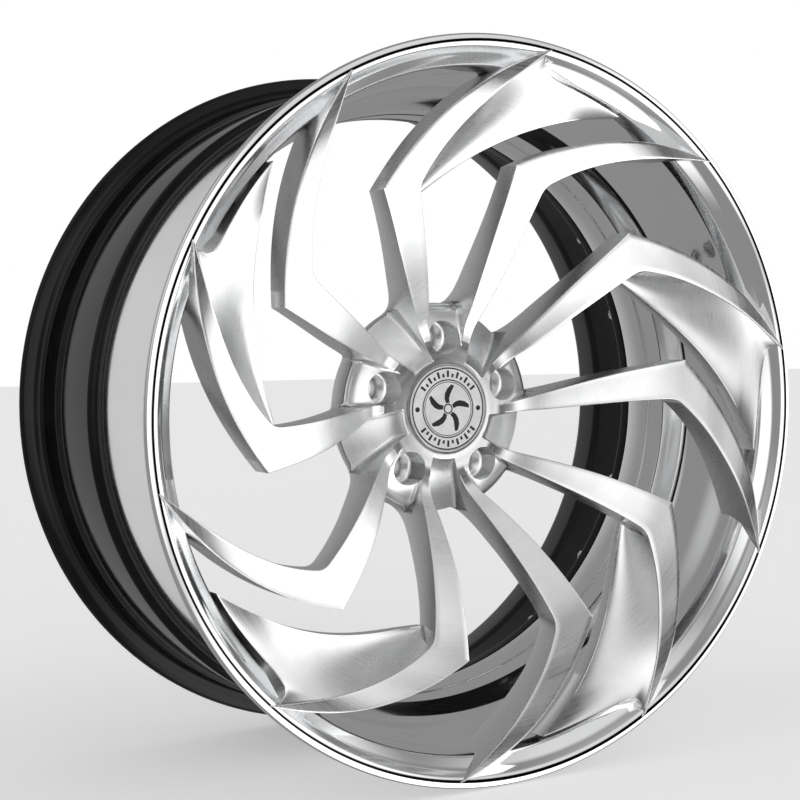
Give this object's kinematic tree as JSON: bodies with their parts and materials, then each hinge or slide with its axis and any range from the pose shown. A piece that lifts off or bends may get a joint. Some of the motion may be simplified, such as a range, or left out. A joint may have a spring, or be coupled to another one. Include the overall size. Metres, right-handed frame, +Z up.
{
  "type": "forged wheel rim",
  "caption": "Multi-piece forged wheel rim: directional twisted spokes and scooped webs on a polished outer half, gloss black inner half, centre cap and valve.",
  "frame": {"origin": "on the spin axis, midway between the frontmost and the rearmost face", "axes": "+Y along the spin axis towards the inboard side, so the street face looks along -Y; +Z up; +X to the right as the street face is seen"},
  "size_m": [0.5986, 0.3048, 0.5986],
  "materials": {
    "centre": "satin",
    "outer_half": "polished",
    "inner_half": "gloss",
    "bolts": "satin",
    "sealant": "satin",
    "cap": "satin",
    "cap_print": "satin",
    "spring_steel": "satin",
    "valve_metal": "polished",
    "valve_brass": "satin",
    "valve_rubber": "matte"
  },
  "bodies": {
    "wheel": {"forged_center": "centre", "outer_rim_half": "outer_half", "inner_rim_half": "inner_half", "joint_seal_bead": "sealant", "assembly_bolt_01": "bolts", "assembly_bolt_02": "bolts", "assembly_bolt_03": "bolts", "assembly_bolt_04": "bolts", "assembly_bolt_05": "bolts", "assembly_bolt_06": "bolts", "assembly_bolt_07": "bolts", "assembly_bolt_08": "bolts", "assembly_bolt_09": "bolts", "assembly_bolt_10": "bolts", "assembly_bolt_11": "bolts", "assembly_bolt_12": "bolts", "assembly_bolt_13": "bolts", "assembly_bolt_14": "bolts", "assembly_bolt_15": "bolts", "assembly_bolt_16": "bolts", "assembly_bolt_17": "bolts", "assembly_bolt_18": "bolts", "assembly_bolt_19": "bolts", "assembly_bolt_20": "bolts", "valve_stem": "valve_metal", "valve_seal": "valve_rubber", "valve_nut": "valve_metal", "valve_core": "valve_brass"},
    "cap": {"center_cap": "cap", "cap_emblem_disc": "cap_print", "cap_spring_ring": "spring_steel"},
    "valve_cap": {"valve_cap": "valve_metal"},
    "valve_pin": {"valve_core_pin": "valve_brass"}
  },
  "joints": [
    {"name": "cap_pull", "type": "slide", "parent": "wheel", "child": "cap", "axis": [0, -1, 0], "range_m": [0, 0.03]},
    {"name": "valve_cap_off", "type": "slide", "parent": "wheel", "child": "valve_cap", "axis": [-0.8969, 0, -0.4423], "range_m": [0, 0.018]},
    {"name": "valve_pin_press", "type": "slide", "parent": "wheel", "child": "valve_pin", "axis": [0.8969, 0, 0.4423], "range_m": [0, 0.0012], "stiffness_N_per_m": 500}
  ]
}
